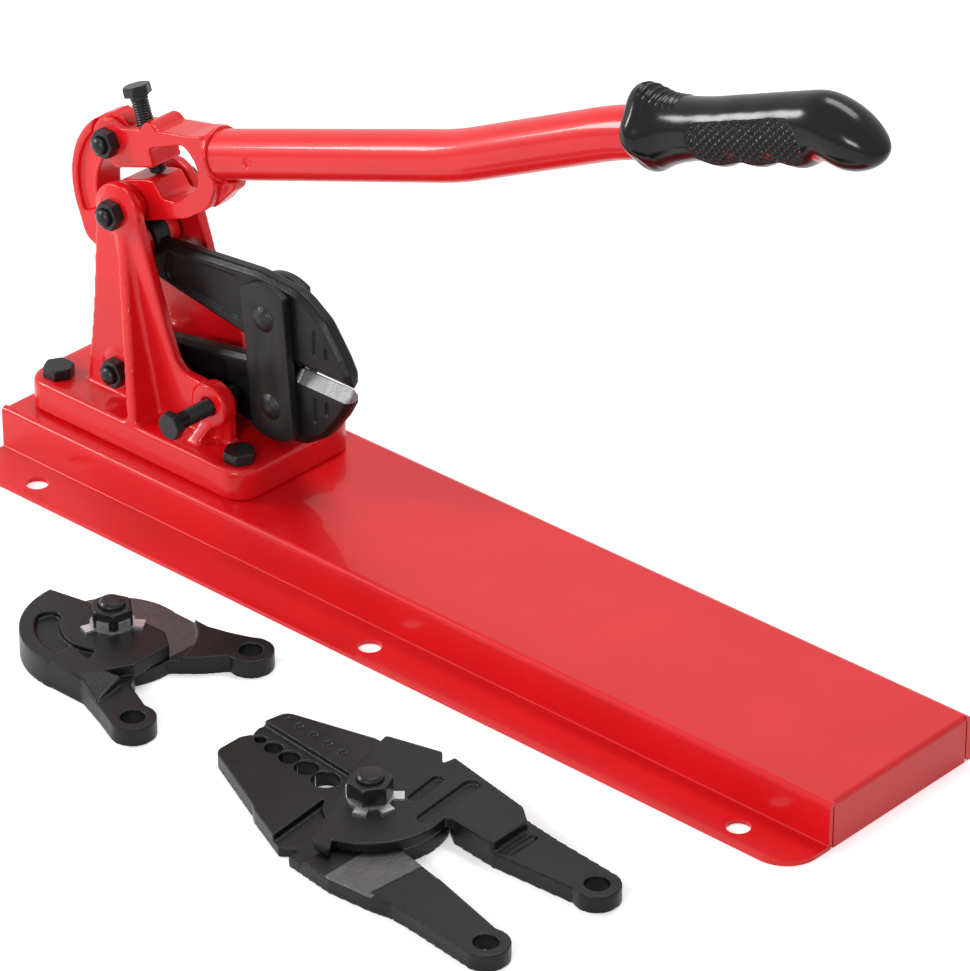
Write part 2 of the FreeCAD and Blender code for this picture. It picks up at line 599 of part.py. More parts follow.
def jaw(pivot, tail, side, tail_bore, bevel_height, pocket_end):
    """One forged jaw. Side is 1 for the upper jaw and -1 for the lower; heights grow outward."""

    def up(height):
        return BLADE_LINE + side * height

    tail_height = side * (tail[1] - BLADE_LINE)
    corners = [(JAW_TIP, TIP_GAP / 2, 0), (JAW_TIP, 9, 3), (JAW_TIP - 5, 18, 12), (JAW_TIP - 18, 35.5, 18),
               (-114.5, 46.8, 22), (-147, 49, 40), (tail[0] + 12, tail_height + 3.5, 0),
               (tail[0], tail_height, 0), (tail[0] + 2, tail_height - TAIL_EYE + 1, 0),
               (tail[0] + 8, 17.5, 6), (-196, 12.4, 20), (-158, 6, 10), (-148, 4, 4),
               (BLADE_LEFT - 4, 4, 2), (BLADE_LEFT, BLADE_TILT, 0)]
    placed = [(x, up(height), radius) for x, height, radius in corners]
    knuckle_radius = math.dist(UPPER_STRAP_PIVOT, LOWER_STRAP_PIVOT) / 2 - SIDE_GAP
    low, high = sorted((up(-2), up(18)))
    knuckle = cross_rod(knuckle_radius, pivot, -JAW_HALF, JAW_HALF)
    knuckle = knuckle.common(box(pivot[0] - 16, pivot[0] + 14, -JAW_HALF, JAW_HALF, low, high))
    slab = upright_slab(placed, -JAW_HALF, JAW_HALF)
    outer_edges = [edge for edge in slab.Edges if abs(abs(edge.CenterOfMass.y) - JAW_HALF) < 0.01
                   and side * (edge.CenterOfMass.z - BLADE_LINE) > 10 and edge.CenterOfMass.x > tail[0] + 30]
    body = joined(slab.makeChamfer(JAW_CHAMFER, outer_edges), knuckle,
                  cross_rod(TAIL_EYE, tail, -JAW_HALF, JAW_HALF))
    pocket = [(-217, up(21.5), 4), (pocket_end, up(14.5), 4), (pocket_end, up(41.5), 4), (-214, up(37.5), 4)]
    marks = [(-104.8, -103.0, 13, 28), (-96.2, -94.4, 13, 20.5)]
    for face in (-1, 1):
        floor, top = sorted((face * (JAW_HALF - JAW_POCKET_DEPTH), face * (JAW_HALF + 1)))
        body = body.cut(upright_slab(pocket, floor, top))
        bevel = Part.makePolygon([Vector(0, 0, up(-1)), Vector(0, 0, up(TIP_GAP / 2)),
                                  Vector(0, face * (JAW_HALF + 1), up(bevel_height * (1 + 1 / JAW_HALF))),
                                  Vector(0, face * (JAW_HALF + 1), up(-1)), Vector(0, 0, up(-1))])
        wedge = Part.Face(bevel).extrude(Vector(JAW_TIP - BLADE_LEFT + 5, 0, 0))
        wedge.translate(Vector(BLADE_LEFT, 0, 0))
        body = body.cut(wedge)
        floor, top = sorted((face * (JAW_HALF - JAW_MARK_DEPTH), face * (JAW_HALF + 1)))
        for left, right, start, end in marks:
            low, high = sorted((up(start), up(end)))
            body = body.cut(box(left, right, floor, top, low, high))
    body = body.cut(cross_rod(STRAP_PIN, pivot, -JAW_HALF, JAW_HALF))
    return body.cut(cross_rod(tail_bore, tail, -JAW_HALF, JAW_HALF)).removeSplitter()


def strap(low, high):
    """Side strap over both jaws, with gently arched ends."""
    top = Vector(UPPER_STRAP_PIVOT[0], 0, UPPER_STRAP_PIVOT[1])
    foot = Vector(LOWER_STRAP_PIVOT[0], 0, LOWER_STRAP_PIVOT[1])
    along = (top - foot).normalize()
    across = Vector(along.z, 0, -along.x)
    side = across * STRAP_HALF_WIDTH
    shoulder = STRAP_END - STRAP_END_SAG
    top_left, top_right = top + along * shoulder - side, top + along * shoulder + side
    foot_left, foot_right = foot - along * shoulder - side, foot - along * shoulder + side
    edges = [Part.LineSegment(foot_left, top_left).toShape(),
             Part.Arc(top_left, top + along * STRAP_END, top_right).toShape(),
             Part.LineSegment(top_right, foot_right).toShape(),
             Part.Arc(foot_right, foot - along * STRAP_END, foot_left).toShape()]
    face = Part.Face(Part.Wire(edges))
    face.translate(Vector(0, low, 0))
    plate = face.extrude(Vector(0, high - low, 0))
    for point in (UPPER_STRAP_PIVOT, LOWER_STRAP_PIVOT):
        plate = plate.cut(cross_rod(STRAP_PIN, point, low, high))
    return plate


def strap_pin(point):
    """Riveted pin through both straps and a jaw, with domed heads."""
    shank = cross_rod(STRAP_PIN - RUNNING, point, -STRAP_OUTER, STRAP_OUTER)
    caps = [dome(RIVET_HEAD, RIVET_DOME, Vector(point[0], side * STRAP_OUTER, point[1]), Vector(0, side, 0))
            for side in (-1, 1)]
    return joined(shank, *caps)


# Loose heads, built round their pivots with the bench at z = 0

def lever_eye(body, eye, thickness):
    body = body.fuse(post(ARM_EYE, eye, 0, thickness))
    return body.cut(post(ARM_BORE, eye, 0, thickness))


def sector(radius, start, end, low, high):
    """Pie slice between two angles, in degrees, round the head's pivot."""
    slice_shape = Part.makeCylinder(radius, high - low, Vector(0, 0, low), Vector(0, 0, 1), end - start)
    slice_shape.rotate(Vector(0, 0, 0), Vector(0, 0, 1), start)
    return slice_shape


def slot_cutter(start, end, width, low, high):
    """Straight slot with round ends, for recesses."""
    run = Vector(end[0] - start[0], end[1] - start[1], 0)
    side = Vector(-run.y, run.x, 0).normalize() * (width / 2)
    first = Vector(start[0], start[1], low)
    corners = [first + side, first + run + side, first + run - side, first - side, first + side]
    middle = Part.Face(Part.makePolygon(corners)).extrude(Vector(0, 0, high - low))
    return middle.multiFuse([post(width / 2, start, low, high), post(width / 2, end, low, high)])


def on_bench(shape, place, turn):
    moved = shape.copy()
    moved.rotate(Vector(0, 0, 0), Vector(0, 0, 1), turn)
    moved.translate(Vector(place[0], place[1], 0))
    return moved


def head_pivot_bolt(top):
    """Flush-headed pivot bolt that comes up through both levers."""
    disc = post(PIVOT_DISC - RUNNING, (0, 0), 0, PIVOT_DISC_DEPTH)
    end = top + LOCK_PLATE + HEAD_NUT + PIVOT_END
    shank = post(HEAD_PIVOT - RUNNING, (0, 0), 0, end - 1.5)
    tip = Part.makeCone(HEAD_PIVOT - RUNNING, HEAD_PIVOT - 1.5, 1.5, Vector(0, 0, end - 1.5))
    return joined(disc, shank, tip)


def head_pivot_nut(top):
    return hex_nut(HEAD_FLATS, HEAD_NUT, HEAD_PIVOT, Vector(0, 0, top + LOCK_PLATE), Vector(0, 0, 1))


def lock_washer(top, flat_tabs, bent_tabs):
    """Tab washer: some tabs lie flat and some are bent up against the nut's flats."""
    reach = HEAD_FLATS / 2 + 0.3
    ring = post(HEAD_FLATS / 2 + 1.5, (0, 0), top, top + LOCK_PLATE)
    tabs = []
    for angle in flat_tabs + bent_tabs:
        tab = box(HEAD_PIVOT + 1, reach + 6.5, -3.5, 3.5, top, top + LOCK_PLATE)
        if angle in bent_tabs:
            tab = box(reach, reach + LOCK_PLATE, -3.5, 3.5, top, top + 6.5)
            tab = tab.fuse(box(HEAD_PIVOT + 1, reach + LOCK_PLATE, -3.5, 3.5, top, top + LOCK_PLATE))
        tab.rotate(Vector(0, 0, 0), Vector(0, 0, 1), angle)
        tabs.append(tab)
    return joined(ring, *tabs).cut(post(HEAD_PIVOT + RUNNING, (0, 0), top, top + 10))


def cable_fixed_lever():
    """Upper cutting plate with a full-height outer rim and the lower right arm."""
    rim_points = [Vector(CABLE_RIM * math.cos(math.radians(a)), CABLE_RIM * math.sin(math.radians(a)),
                         CABLE_LOWER + SIDE_GAP) for a in (178, 235, 296)]
    corners = [(30.4, -36), (38.5, -21.4), (38, 4.6), (27, 12.5), (8.5, 12.5)]
    points = [rim_points[2]] + [Vector(x, y, rim_points[2].z) for x, y in corners] + [rim_points[0]]
    edges = [Part.Arc(*rim_points).toShape()]
    for first, last in zip(points, points[1:]):
        edges.append(Part.LineSegment(first, last).toShape())
    plate = Part.Face(Part.Wire(edges)).extrude(Vector(0, 0, CABLE_TOP - rim_points[2].z))
    groove_floor = CABLE_TOP - 3
    groove = sector(41, 214, 297, groove_floor, CABLE_TOP).cut(sector(28, 210, 300, groove_floor, CABLE_TOP))
    groove_end = math.radians(214)
    groove = groove.fuse(post(6.5, (34.5 * math.cos(groove_end), 34.5 * math.sin(groove_end)),
                              groove_floor, CABLE_TOP))
    arm = [(0, -CABLE_RIM, 0), (27, -48.8, 12), (48, -56.5, 0), (CABLE_FIXED_EYE[0] - 4.5, -62.6, 0),
           (CABLE_FIXED_EYE[0], CABLE_FIXED_EYE[1], 0), (CABLE_FIXED_EYE[0] - 3, -39, 0), (44, -30, 8),
           (38.5, -21.4, 0), (28, -30, 0), (0, -42, 0)]
    root = [(0, -CABLE_RIM, 0), (27, -48.8, 0), (44, -54.5, 0), (40, -33, 0), (30.4, -36, 0), (0, -30, 0)]
    slope = Part.makePolygon([Vector(36, -44, CABLE_TOP), Vector(52, -60, CABLE_ARM),
                              Vector(52, -60, CABLE_TOP + 1), Vector(36, -44, CABLE_TOP + 1),
                              Vector(36, -44, CABLE_TOP)])
    slope = Part.Face(slope).extrude(Vector(60, 60, 0))
    slope.translate(Vector(-44, -32, 0))
    lever = joined(plate.cut(groove), flat_slab(arm, 0, CABLE_ARM),
                   flat_slab(root, 0, CABLE_TOP).cut(slope), sector(CABLE_RIM, 182, 296, 0, CABLE_LOWER + 1))
    swept = sector(CABLE_BLADE + 0.7, -105, 201, 0, CABLE_LOWER + SIDE_GAP)
    lever = lever.cut(swept.fuse(post(SMALL_HUB + 0.7, (0, 0), 0, CABLE_LOWER + SIDE_GAP)))
    lever = lever_eye(lever, CABLE_FIXED_EYE, CABLE_ARM)
    return lever.cut(post(HEAD_PIVOT, (0, 0), 0, CABLE_TOP)).removeSplitter()


def cable_moving_lever():
    """Lower cutting plate, which swings under the fixed plate, and the upper right arm."""
    eye_x, eye_y = CABLE_MOVING_EYE
    arm = [(-3.5, 39.4, 0), (33, 38.5, 6), (46, 42, 10), (eye_x - 8, eye_y + 9.6, 0), (eye_x, eye_y, 0),
           (eye_x - 4, eye_y - 11.8, 0), (53, 14, 8), (39.6, 2, 0), (20, 0, 0), (0, 20, 0)]
    blade = sector(CABLE_BLADE, -75, 200, 0, CABLE_LOWER)
    root = post(44.8, (0, 0), CABLE_LOWER, CABLE_ARM)
    lever = joined(blade, post(SMALL_HUB, (0, 0), 0, CABLE_LOWER),
                   flat_slab(arm, 0, CABLE_ARM).cut(root))
    lever = lever_eye(lever, CABLE_MOVING_EYE, CABLE_ARM)
    return bored_for_pivot(lever)


def bored_for_pivot(lever):
    lever = lever.cut(post(HEAD_PIVOT, (0, 0), 0, CABLE_TOP))
    return lever.cut(post(PIVOT_DISC, (0, 0), 0, PIVOT_DISC_DEPTH + RUNNING)).removeSplitter()


def crimp_jaw(side):
    """Outline of one crimping jaw; side is 1 for the far jaw and -1 for the near one."""
    face = RUNNING * 2
    corners = [(-92, face, 0), (-94.5, 6, 3), (-93, 24, 7), (-43, 41.5, 0), (-18, 45, 0), (-8, 20, 0),
               (-8, face, 0)]
    return [(x, side * y, radius) for x, y, radius in corners]


def crimp_arm(side):
    eye_x, eye_y = CRIMP_EYE
    corners = [(58, 17.5, 0), (72, 17.5, 6), (eye_x - 5, eye_y - 11.4, 0), (eye_x, eye_y, 0),
               (eye_x - 1, eye_y + 12.4, 0), (86, 49, 10), (58, 50, 0)]
    return [(x, side * y, radius) for x, y, radius in corners]


def cut_nests(lever):
    for x, radius in CRIMP_NESTS:
        lever = lever.cut(post(radius, (x, 0), 0, CRIMP_TOP))
    return lever


def crimp_upper_lever():
    """Far jaw, hub plate over the pivot and the far arm."""
    plate_low = CRIMP_LOWER + SIDE_GAP
    plate = [(-23, 5, 0), (-38, 44, 2), (-7, 55, 2), (1, 48, 0), (1.5, 56, 0), (58, 51, 2), (69, 44, 2),
             (72.5, 17.5, 2), (44, 17.5, 0), (0, 0, 0), (15, -38, 0), (21.5, -45.5, 0), (10, -46.5, 0)]
    block = [(4, 56, 0), (58, 51, 2), (69, 44, 2), (72.5, 17.5, 2), (43, 17.5, 0), (20, 30, 0)]
    raised = [(-94, 10, 0), (-93, 24, 7), (-43, 41.5, 0), (-30, 43, 0), (-26, 10, 0)]
    far_jaw = flat_slab(crimp_jaw(1), 0, CRIMP_LOWER).cut(post(SMALL_HUB + 0.6, (0, 0), 0, CRIMP_LOWER))
    far_jaw = far_jaw.cut(sector(CRIMP_HUB + 0.6, 0, 113, 0, CRIMP_LOWER))
    hub = sector(CRIMP_HUB + 0.5, -71, 25, plate_low, CRIMP_TOP)
    lever = joined(flat_slab(plate, plate_low, CRIMP_TOP), hub, far_jaw,
                   flat_slab(raised, CRIMP_LOWER - 1, CRIMP_RIM_TOP),
                   flat_slab(block, 0, plate_low + 1).cut(post(CRIMP_HUB + 0.8, (0, 0), 0, plate_low)),
                   flat_slab(crimp_arm(1), 0, CRIMP_ARM))
    lever = cut_nests(lever_eye(lever, CRIMP_EYE, CRIMP_ARM))
    for step in range(5):
        mark = (-89 + 11.3 * step, 20)
        lever = lever.cut(post(2.2, mark, CRIMP_RIM_TOP - 1.4, CRIMP_RIM_TOP))
    for start, end, width in (((15, 16), (10.5, 36), 6), ((33, 8), (26, 45), 9)):
        lever = lever.cut(slot_cutter(start, end, width, CRIMP_TOP - CRIMP_SLOT_DEPTH, CRIMP_TOP))
    lever = lever.cut(slot_cutter((78, 24), (76, 41), 4.5, CRIMP_ARM - 1.6, CRIMP_ARM))
    return lever.cut(post(HEAD_PIVOT, (0, 0), 0, CRIMP_TOP)).removeSplitter()


def crimp_lower_lever():
    """Near jaw, hub disc under the plate and the near arm."""
    body = [(-43, -41.5, 0), (-38, -44.5, 0), (-7, -54.8, 2), (1, -47.5, 0), (1.5, -56.5, 2), (34, -57.5, 0),
            (60, -53, 0), (72, -49.5, 0), (72, -17.5, 6), (44, -14, 0), (0, -8, 0), (-14, -16, 0)]
    channel = [(-22.5, -8, 0), (-15.5, -42, 0), (-12, -60, 0), (14, -60, 0), (14, -40, 0), (-10, -8, 0)]
    lever = joined(flat_slab(crimp_jaw(-1), 0, CRIMP_LOWER), flat_slab(body, 0, CRIMP_LOWER),
                   post(SMALL_HUB, (0, 0), 0, CRIMP_LOWER),
                   sector(CRIMP_HUB, -80, 90, 0, CRIMP_LOWER), flat_slab(crimp_arm(-1), 0, CRIMP_ARM))
    hub = post(SMALL_HUB + 2, (0, 0), 0, CRIMP_TOP)
    lever = lever.cut(flat_slab(channel, CRIMP_LOWER - CHANNEL_DEPTH, CRIMP_TOP).cut(hub))
    return bored_for_pivot(cut_nests(lever_eye(lever, (CRIMP_EYE[0], -CRIMP_EYE[1]), CRIMP_ARM)))


# All sub-parts

def cable_place(shape):
    return on_bench(shape, CABLE_PIVOT, 0)


def crimp_place(shape):
    return on_bench(shape, CRIMP_PIVOT, CRIMP_TURN)


def all_parts():
    return {
        "base_channel": base_channel(),
        "stand_casting": stand_casting(),
        "stand_bolts": stand_bolts(),
        "stand_washers": stand_washers(),
        "stand_nuts": stand_nuts(),
        "handle_pivot_bolt": cross_bolt(HANDLE_PIVOT, BOSS_FACE),
        "handle_pivot_nut": cross_nut(HANDLE_PIVOT, BOSS_FACE),
        "lower_tail_bolt": cross_bolt(LOWER_TAIL, BOSS_FACE),
        "lower_tail_nut": cross_nut(LOWER_TAIL, BOSS_FACE),
        "clamp_bolt": clamp_bolt(),
        "handle_head": handle_head(),
        "lever_tube": lever_tube(),
        "hand_grip": hand_grip(),
        "adjusting_bolt": adjusting_bolt(),
        "link_pivot_bolt": cross_bolt(LINK_PIVOT, HEAD_HALF),
        "link_pivot_nut": cross_nut(LINK_PIVOT, HEAD_HALF),
        "pull_link": pull_link(),
        "tail_pin": tail_pin(),
        "upper_jaw": jaw(UPPER_STRAP_PIVOT, UPPER_TAIL, 1, TAIL_PIN + TAIL_PLAY, UPPER_BEVEL,
                         UPPER_POCKET_END),
        "lower_jaw": jaw(LOWER_STRAP_PIVOT, LOWER_TAIL, -1, PIVOT_BOLT, LOWER_BEVEL, LOWER_POCKET_END),
        "near_strap": strap(-STRAP_OUTER, -STRAP_INNER),
        "far_strap": strap(STRAP_INNER, STRAP_OUTER),
        "upper_strap_pin": strap_pin(UPPER_STRAP_PIVOT),
        "lower_strap_pin": strap_pin(LOWER_STRAP_PIVOT),
        "cable_fixed_lever": cable_place(cable_fixed_lever()),
        "cable_moving_lever": cable_place(cable_moving_lever()),
        "cable_pivot_bolt": cable_place(head_pivot_bolt(CABLE_TOP)),
        "cable_pivot_nut": on_bench(head_pivot_nut(CABLE_TOP), CABLE_PIVOT, CABLE_NUT_TURN),
        "cable_lock_washer": on_bench(lock_washer(CABLE_TOP, [14, 233], [270, 330]), CABLE_PIVOT,
                                      CABLE_NUT_TURN),
        "crimp_upper_lever": crimp_place(crimp_upper_lever()),
        "crimp_lower_lever": crimp_place(crimp_lower_lever()),
        "crimp_pivot_bolt": crimp_place(head_pivot_bolt(CRIMP_TOP)),
        "crimp_pivot_nut": crimp_place(head_pivot_nut(CRIMP_TOP)),
        "crimp_lock_washer": crimp_place(lock_washer(CRIMP_TOP, [48, 300, 352], [150, 210])),
    }


os.makedirs("parts", exist_ok=True)
for name, shape in all_parts().items():
    shape.exportStep(f"parts/{name}.step")
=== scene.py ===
import math

import bpy
from mathutils import Matrix, Vector


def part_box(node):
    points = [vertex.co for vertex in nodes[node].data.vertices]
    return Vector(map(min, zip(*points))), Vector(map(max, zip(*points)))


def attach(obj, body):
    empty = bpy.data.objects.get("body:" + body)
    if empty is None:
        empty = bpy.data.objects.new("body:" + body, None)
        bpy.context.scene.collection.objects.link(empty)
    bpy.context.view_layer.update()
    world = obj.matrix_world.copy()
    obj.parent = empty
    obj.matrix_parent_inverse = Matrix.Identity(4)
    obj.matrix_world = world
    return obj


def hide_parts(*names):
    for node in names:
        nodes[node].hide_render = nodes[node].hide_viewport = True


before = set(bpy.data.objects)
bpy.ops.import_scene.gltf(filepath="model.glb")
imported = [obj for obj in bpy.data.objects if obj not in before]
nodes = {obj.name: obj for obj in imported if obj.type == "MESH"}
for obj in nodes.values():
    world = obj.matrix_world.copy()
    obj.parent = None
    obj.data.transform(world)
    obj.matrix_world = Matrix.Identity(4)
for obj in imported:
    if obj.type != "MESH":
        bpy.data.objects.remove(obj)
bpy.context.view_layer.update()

# Studio: a pale floor that reads as white to the camera and to glossy surfaces, and
# keeps the soft shadow. Large soft lamps stand left, above and in front.
FLOOR_SIZE = 30
FLOOR_DROP = 0.0002
FLOOR_GREY = (0.86, 0.86, 0.86, 1)
FLOOR_GLOW = 0.36
WORLD_LIGHT = 0.40
WHITE = (1, 1, 1, 1)


def wire(tree, first, first_socket, second, second_socket):
    tree.links.new(first.outputs[first_socket], second.inputs[second_socket])


def deselect_all():
    for chosen in bpy.context.selected_objects:
        chosen.select_set(False)


def background_rays(tree):
    """1 for the rays that show the plain background: camera, glossy and transmission rays."""
    rays = tree.nodes.new("ShaderNodeLightPath")
    mirrored = tree.nodes.new("ShaderNodeMath")
    mirrored.operation = "MAXIMUM"
    seen = tree.nodes.new("ShaderNodeMath")
    seen.operation = "MAXIMUM"
    wire(tree, rays, "Is Glossy Ray", mirrored, 0)
    wire(tree, rays, "Is Transmission Ray", mirrored, 1)
    wire(tree, rays, "Is Camera Ray", seen, 0)
    wire(tree, mirrored, 0, seen, 1)
    return seen


def studio_floor():
    deselect_all()
    bpy.ops.mesh.primitive_plane_add(size=FLOOR_SIZE, location=(0, 0, -FLOOR_DROP))
    floor = bpy.context.object
    floor.name = "studio_floor"
    material = bpy.data.materials.new("studio_floor")
    material.use_nodes = True
    tree = material.node_tree
    tree.nodes.clear()
    output = tree.nodes.new("ShaderNodeOutputMaterial")
    paint = tree.nodes.new("ShaderNodeBsdfDiffuse")
    paint.inputs["Color"].default_value = FLOOR_GREY
    glow = tree.nodes.new("ShaderNodeEmission")
    glow.inputs["Strength"].default_value = FLOOR_GLOW
    add = tree.nodes.new("ShaderNodeAddShader")
    wire(tree, paint, "BSDF", add, 0)
    wire(tree, glow, "Emission", add, 1)
    pick = tree.nodes.new("ShaderNodeMixShader")
    wire(tree, background_rays(tree), 0, pick, "Fac")
    wire(tree, paint, "BSDF", pick, 1)
    wire(tree, add, "Shader", pick, 2)
    wire(tree, pick, "Shader", output, "Surface")
    floor.data.materials.append(material)


def studio_world():
    world = bpy.data.worlds.new("studio")
    bpy.context.scene.world = world
    world.use_nodes = True
    tree = world.node_tree
    tree.nodes.clear()
    output = tree.nodes.new("ShaderNodeOutputWorld")
    seen = tree.nodes.new("ShaderNodeBackground")
    seen.inputs["Color"].default_value = WHITE
    light = tree.nodes.new("ShaderNodeBackground")
    light.inputs["Color"].default_value = WHITE
    light.inputs["Strength"].default_value = WORLD_LIGHT
    pick = tree.nodes.new("ShaderNodeMixShader")
    wire(tree, background_rays(tree), 0, pick, "Fac")
    wire(tree, light, "Background", pick, 1)
    wire(tree, seen, "Background", pick, 2)
    wire(tree, pick, "Shader", output, "Surface")


def soft_lamp(name, place, aim, size, watts):
    lamp = bpy.data.lights.new(name, "AREA")
    lamp.shape = "RECTANGLE"
    lamp.size = size[0]
    lamp.size_y = size[1]
    lamp.energy = watts
    holder = bpy.data.objects.new(name, lamp)
    bpy.context.scene.collection.objects.link(holder)
    holder.location = place
    holder.rotation_euler = (Vector(aim) - Vector(place)).to_track_quat("-Z", "Y").to_euler()


studio_floor()
studio_world()
soft_lamp("top_softbox", (-0.1, 0.5, 1.7), (0, 0, 0.1), (1.0, 0.5), 15)
soft_lamp("left_softbox", (-1.5, -0.9, 0.9), (-0.1, 0, 0.12), (0.5, 0.5), 19)
soft_lamp("front_softbox", (0.7, -1.9, 1.0), (0, 0, 0.1), (0.8, 0.35), 20)

# Camera: a long lens, so the base's edges stay nearly parallel, aimed at a point above
# the middle of the base.
VIEW_LENS = 202.7
VIEW_SENSOR = 36
VIEW_AZIMUTH = math.radians(42.396)
VIEW_RISE = math.radians(30.112)
VIEW_TARGET = Vector((-0.002389, 0.019917, 0.060))
VIEW_DISTANCE = 2.9273
VIEW_CLIP = 60

camera_data = bpy.data.cameras.new("camera")
camera_data.lens = VIEW_LENS
camera_data.sensor_width = VIEW_SENSOR
camera_data.clip_end = VIEW_CLIP
camera = bpy.data.objects.new("camera", camera_data)
bpy.context.scene.collection.objects.link(camera)
view_line = Vector((-math.sin(VIEW_AZIMUTH) * math.cos(VIEW_RISE),
                    math.cos(VIEW_AZIMUTH) * math.cos(VIEW_RISE), -math.sin(VIEW_RISE)))
camera.location = VIEW_TARGET - view_line * VIEW_DISTANCE
camera.rotation_euler = view_line.to_track_quat("-Z", "Y").to_euler()
bpy.context.scene.camera = camera
bpy.context.scene.view_settings.view_transform = "Standard"

# Folded base: one steel sheet with pressed bends and folded ends, bolted to the bench
# through six holes. It wears a thick red powder coat, glossy, with a faint orange peel.
COAT_ROUGHNESS = 0.05


def surface_group():
    """Three noises over a surface: fine peel, broad cloud and small specks."""
    group = bpy.data.node_groups.new("made_surface", "ShaderNodeTree")
    for name in ("Peel Scale", "Cloud Scale", "Speck Scale"):
        group.interface.new_socket(name, in_out="INPUT", socket_type="NodeSocketFloat")
    for name in ("Peel", "Cloud", "Speck"):
        group.interface.new_socket(name, in_out="OUTPUT", socket_type="NodeSocketFloat")
    start = group.nodes.new("NodeGroupInput")
    end = group.nodes.new("NodeGroupOutput")
    where = group.nodes.new("ShaderNodeTexCoord")
    for output, detail, rough in (("Peel", 3, 0.5), ("Cloud", 4, 0.6), ("Speck", 1, 0.5)):
        texture = group.nodes.new("ShaderNodeTexNoise")
        texture.inputs["Detail"].default_value = detail
        texture.inputs["Roughness"].default_value = rough
        wire(group, where, "Object", texture, "Vector")
        wire(group, start, output + " Scale", texture, "Scale")
        wire(group, texture, "Fac", end, output)
    return group


made_surface = surface_group()


def finish(name, dark, light, rough, peel_scale, peel_height, cloud_scale=14, metallic=0.0,
           coat=0.0, specular=0.5, speck=0.0):
    """Finish whose colour and gloss drift between two values, over a fine bumpy surface."""
    material = bpy.data.materials.new(name)
    material.use_nodes = True
    tree = material.node_tree
    shader = tree.nodes["Principled BSDF"]
    surface = tree.nodes.new("ShaderNodeGroup")
    surface.name = "surface"
    surface.node_tree = made_surface
    surface.inputs["Peel Scale"].default_value = peel_scale
    surface.inputs["Cloud Scale"].default_value = cloud_scale
    surface.inputs["Speck Scale"].default_value = peel_scale * 3
    colours = tree.nodes.new("ShaderNodeValToRGB")
    colours.name = "colours"
    colours.color_ramp.elements[0].position = 0.3
    colours.color_ramp.elements[0].color = (*dark, 1)
    colours.color_ramp.elements[1].position = 0.7
    colours.color_ramp.elements[1].color = (*light, 1)
    gloss = tree.nodes.new("ShaderNodeMapRange")
    gloss.name = "gloss"
    gloss.inputs["To Min"].default_value = rough[0]
    gloss.inputs["To Max"].default_value = rough[1]
    height = tree.nodes.new("ShaderNodeMath")
    height.operation = "MULTIPLY_ADD"
    height.inputs[1].default_value = speck
    bump = tree.nodes.new("ShaderNodeBump")
    bump.name = "bump"
    bump.inputs["Distance"].default_value = peel_height
    wire(tree, surface, "Cloud", colours, "Fac")
    wire(tree, surface, "Cloud", gloss, "Value")
    wire(tree, colours, "Color", shader, "Base Color")
    wire(tree, gloss, "Result", shader, "Roughness")
    wire(tree, surface, "Speck", height, 0)
    wire(tree, surface, "Peel", height, 2)
    wire(tree, height, 0, bump, "Height")
    wire(tree, bump, "Normal", shader, "Normal")
    shader.inputs["Metallic"].default_value = metallic
    shader.inputs["Specular IOR Level"].default_value = specular
    shader.inputs["Coat Weight"].default_value = coat
    shader.inputs["Coat Roughness"].default_value = COAT_ROUGHNESS
    return material


def recoat(node, material):
    """Give a CAD node that keeps its own mesh a new finish."""
    nodes[node].data.materials.clear()
    nodes[node].data.materials.append(material)


red_coat = finish("red_powder_coat", (0.58, 0.003, 0.006), (0.66, 0.005, 0.009), (0.30, 0.38),
                  900, 0.00004, coat=0.32, specular=0.22)
recoat("base_channel", red_coat)

# Stand: an iron casting with two cheeks, ribs and a foot plate, coated red. Its corners
# are as soft as sand-cast corners are.
WELD = 0.000002


def working_copy(node):
    """A merged copy of a node's mesh, as the start of the piece that takes its place."""
    deselect_all()
    piece = nodes[node].copy()
    piece.data = nodes[node].data.copy()
    piece.parent = None
    piece.hide_render = False
    piece.name = node + "_shaped"
    bpy.context.scene.collection.objects.link(piece)
    bpy.context.view_layer.objects.active = piece
    piece.select_set(True)
    bpy.ops.object.mode_set(mode="EDIT")
    bpy.ops.mesh.select_all(action="SELECT")
    bpy.ops.mesh.remove_doubles(threshold=WELD)
    bpy.ops.object.mode_set(mode="OBJECT")
    return piece


def apply_all(piece):
    """Apply the active piece's modifiers, in order."""
    for modifier in list(piece.modifiers):
        bpy.ops.object.modifier_apply(modifier=modifier.name)


def take_place(piece, node, body, material):
    """Let a piece stand for a CAD node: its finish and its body."""
    piece.data.materials.clear()
    piece.data.materials.append(material)
    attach(piece, body)
    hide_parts(node)


def softened(node, cell, rounds):
    """Even out a casting's or forging's corners: a fine skin, relaxed a few rounds."""
    piece = working_copy(node)
    skin = piece.modifiers.new("skin", "REMESH")
    skin.mode = "VOXEL"
    skin.voxel_size = cell
    skin.use_smooth_shade = True
    relax = piece.modifiers.new("relax", "SMOOTH")
    relax.factor = 0.5
    relax.iterations = rounds
    apply_all(piece)
    return piece


def soften_in_place(node, body, material, cell, rounds):
    take_place(softened(node, cell, rounds), node, body, material)


soften_in_place("stand_casting", "base", red_coat, 0.00118, 7)

# Handle head and pull link: smaller castings in the same red coat. The head is the clamp
# that swings on the stand, the link curls down from it to the upper jaw's tail.
soften_in_place("handle_head", "handle", red_coat, 0.00078, 6)
soften_in_place("pull_link", "link", red_coat, 0.00075, 6)

# Lever tube: drawn steel tube, cranked twice, pressed over the head's spigot and fixed
# by a crimped dimple. Coated red after bending.
recoat("lever_tube", red_coat)

